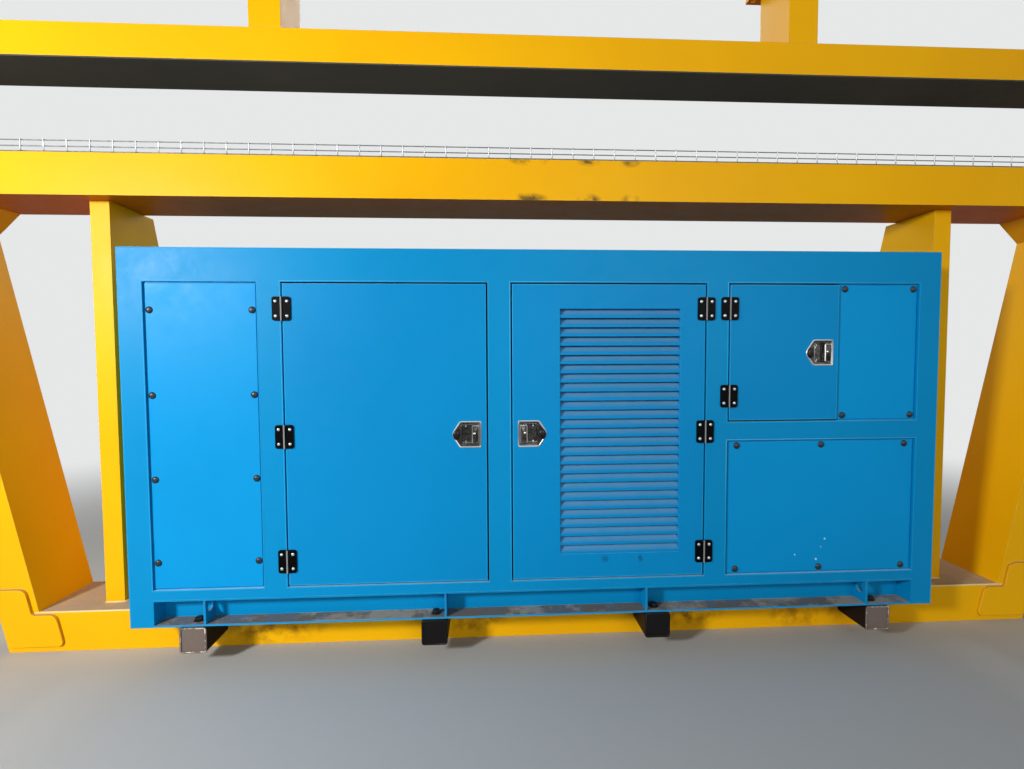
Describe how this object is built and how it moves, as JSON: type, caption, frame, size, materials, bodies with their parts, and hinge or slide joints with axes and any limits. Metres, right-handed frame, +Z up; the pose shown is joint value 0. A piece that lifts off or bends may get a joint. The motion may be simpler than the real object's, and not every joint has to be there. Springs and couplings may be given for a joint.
{
  "type": "straddle carrier side frame bay with power unit housing",
  "caption": "Box-section side frame bay of a straddle carrier with leaning legs, a wire cable tray and a louvred power unit housing whose doors swing open.",
  "frame": {"origin": "middle of the lower beam's underside, on the ground", "axes": "+X along the frame to the right as seen from the doors, +Y away from the doors, +Z up"},
  "size_m": [5.3704, 1.04, 2.977],
  "materials": {
    "yellow_paint": "semi-gloss machine enamel",
    "blue_paint": "semi-gloss powder coat",
    "grey_primer": "matt primer",
    "galvanised_wire": "hot-dip galvanised wire",
    "primed_tube": "dark primer with rust at the welds",
    "black_fastener": "black oxide",
    "seal_rubber": "matt door seal",
    "black_hinge": "black satin enamel",
    "stainless_latch": "polished stainless steel"
  },
  "bodies": {
    "root": {"lower_beam": "yellow_paint", "rear_bearer_beam": "yellow_paint", "mid_beam": "yellow_paint", "upper_beam": "yellow_paint", "upper_beam_soffit": "grey_primer", "frame_end_plates": "yellow_paint", "left_leg": "yellow_paint", "right_leg": "yellow_paint", "corner_plates": "yellow_paint", "left_post": "yellow_paint", "right_post": "yellow_paint", "end_columns": "yellow_paint", "upper_posts": "yellow_paint", "cable_tray_floor": "galvanised_wire", "cable_tray_front": "galvanised_wire", "cable_tray_back": "galvanised_wire", "front_support_tubes": "primed_tube", "rear_support_tubes": "primed_tube", "tube_end_caps": "primed_tube", "skid_channels": "blue_paint", "skid_cross_members": "blue_paint", "lifting_gussets": "blue_paint", "inner_gussets": "blue_paint", "skid_bolts": "black_fastener", "housing_floor": "blue_paint", "housing_roof": "blue_paint", "corner_posts": "blue_paint", "left_end_wall": "blue_paint", "right_end_wall": "blue_paint", "front_mullions": "blue_paint", "front_rails": "blue_paint", "rear_frame": "blue_paint", "rear_panels": "blue_paint", "left_panel": "blue_paint", "upper_right_panel": "blue_paint", "lower_right_panel": "blue_paint", "panel_backing_frames": "blue_paint", "panel_bolts": "black_fastener", "door_seals": "seal_rubber", "frame_hinge_leaves": "black_hinge"},
    "left_door_body": {"left_door": "blue_paint", "left_door_hinges": "black_hinge", "left_door_latch": "stainless_latch"},
    "centre_door_body": {"centre_door": "blue_paint", "louvre_blades": "blue_paint", "centre_door_hinges": "black_hinge", "centre_door_latch": "stainless_latch"},
    "right_door_body": {"right_door": "blue_paint", "right_door_hinges": "black_hinge", "right_door_latch": "stainless_latch"}
  },
  "joints": [
    {"name": "left_door_hinge", "type": "hinge", "parent": "root", "child": "left_door_body", "pos_m": [-1.0445, -0.32, 0.92], "axis": [0, 0, 1], "range_deg": [-110, 0]},
    {"name": "centre_door_hinge", "type": "hinge", "parent": "root", "child": "centre_door_body", "pos_m": [0.6575, -0.32, 0.92], "axis": [0, 0, 1], "range_deg": [0, 90]},
    {"name": "right_door_hinge", "type": "hinge", "parent": "root", "child": "right_door_body", "pos_m": [0.7565, -0.32, 0.92], "axis": [0, 0, 1], "range_deg": [-90, 0]}
  ]
}
